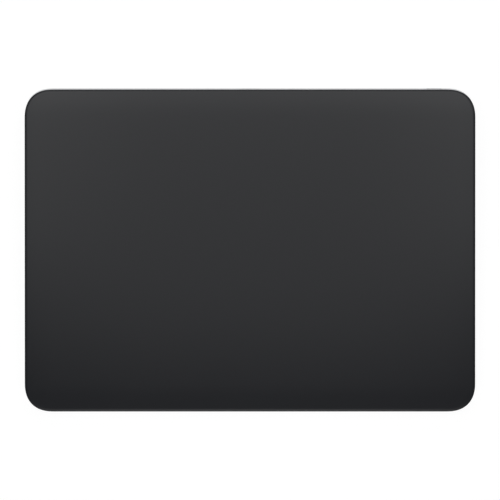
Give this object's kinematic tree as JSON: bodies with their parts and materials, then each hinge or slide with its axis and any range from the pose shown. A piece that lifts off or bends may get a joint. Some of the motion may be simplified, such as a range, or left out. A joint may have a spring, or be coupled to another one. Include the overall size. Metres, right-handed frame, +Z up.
{
  "type": "trackpad",
  "caption": "Desk trackpad: black glass touch deck on strain-gauged beams in a wedge-shaped aluminium tub, with a magnetic shaker, flat battery, charging port and power slider.",
  "frame": {"origin": "on the desk, under the middle of the trackpad's box", "axes": "+X to the user's right, +Y to the rear, away from the user, +Z up"},
  "size_m": [0.16, 0.1149, 0.0109],
  "materials": {
    "aluminium": "fine blasted and clear anodised",
    "black_glass": "etched satin, coated black behind",
    "cover_polymer": "smooth matte sheet",
    "foot_rubber": "moulded, matte",
    "bond_film": "clear adhesive film",
    "board_laminate": "solder mask over laminate",
    "chip_resin": "moulded resin",
    "spring_steel": "rolled sheet",
    "sheet_steel": "plated sheet",
    "core_steel": "magnetic steel, oxide finish",
    "screw_steel": "black plated",
    "polyimide": "amber film over copper",
    "gel": "soft clear gel",
    "gauge_foil": "etched foil on a carrier",
    "copper": "copper",
    "pouch": "laminated foil pouch with a dark film",
    "tape": "foam tape",
    "carrier_plastic": "moulded",
    "contact_gold": "gold plated",
    "indicator_green": "moulded",
    "knob_plastic": "moulded"
  },
  "bodies": {
    "base": {"housing": "aluminium", "bottom_cover": "cover_polymer", "beam_screws": "screw_steel", "shaker_bracket": "sheet_steel", "shaker_core": "core_steel", "shaker_screws": "screw_steel", "shaker_flex": "polyimide", "battery_cell": "pouch", "battery_tape": "tape", "battery_board": "board_laminate", "battery_flex": "polyimide", "main_board": "board_laminate", "main_chips": "chip_resin", "radio_shield": "sheet_steel", "board_connectors": "chip_resin", "board_screws": "screw_steel", "antenna_carrier": "carrier_plastic", "antenna": "copper", "port_shell": "sheet_steel", "port_tongue": "chip_resin", "port_contacts": "contact_gold", "port_bracket": "sheet_steel", "port_screws": "screw_steel", "port_flex": "polyimide", "switch_body": "chip_resin", "switch_bracket": "sheet_steel", "switch_screws": "screw_steel", "switch_flex": "polyimide", "foot_front_left": "foot_rubber", "foot_front_right": "foot_rubber", "foot_rear_left": "foot_rubber", "foot_rear_right": "foot_rubber", "shaker_coil_1": "copper", "shaker_coil_2": "copper", "shaker_coil_3": "copper", "shaker_coil_4": "copper"},
    "force_beams": {"beam_plate_front_left": "spring_steel", "beam_plate_front_right": "spring_steel", "beam_plate_rear_left": "spring_steel", "beam_plate_rear_right": "spring_steel", "strain_gauge_front_left": "gauge_foil", "strain_gauge_front_right": "gauge_foil", "strain_gauge_rear_left": "gauge_foil", "strain_gauge_rear_right": "gauge_foil"},
    "touch_deck": {"touch_glass": "black_glass", "deck_bond": "bond_film", "sensor_board": "board_laminate", "touch_controllers": "chip_resin", "deck_stiffener": "spring_steel", "attraction_rail": "core_steel", "rail_screws": "screw_steel", "sensor_flex": "polyimide", "gel_pad_front_left": "gel", "gel_pad_front_right": "gel", "gel_pad_rear_left": "gel", "gel_pad_rear_right": "gel"},
    "power_slider": {"switch_slider": "aluminium", "switch_indicator": "indicator_green", "switch_knob": "knob_plastic"}
  },
  "joints": [
    {"name": "deck_press", "type": "slide", "parent": "base", "child": "force_beams", "axis": [0, 0.0524, -0.9986], "range_m": [0, 0.0002], "stiffness_N_per_m": 10000, "springref_m": -0.0002, "deforming": ["beam_plate_front_left", "beam_plate_front_right", "beam_plate_rear_left", "beam_plate_rear_right", "sensor_flex"]},
    {"name": "haptic_shift", "type": "slide", "parent": "force_beams", "child": "touch_deck", "axis": [0, 0.9986, 0.0524], "range_m": [-0.00015, 0.00015], "stiffness_N_per_m": 12000, "deforming": ["sensor_flex"]},
    {"name": "power_switch", "type": "slide", "parent": "base", "child": "power_slider", "axis": [1, 0, 0], "range_m": [0, 0.0016]}
  ]
}
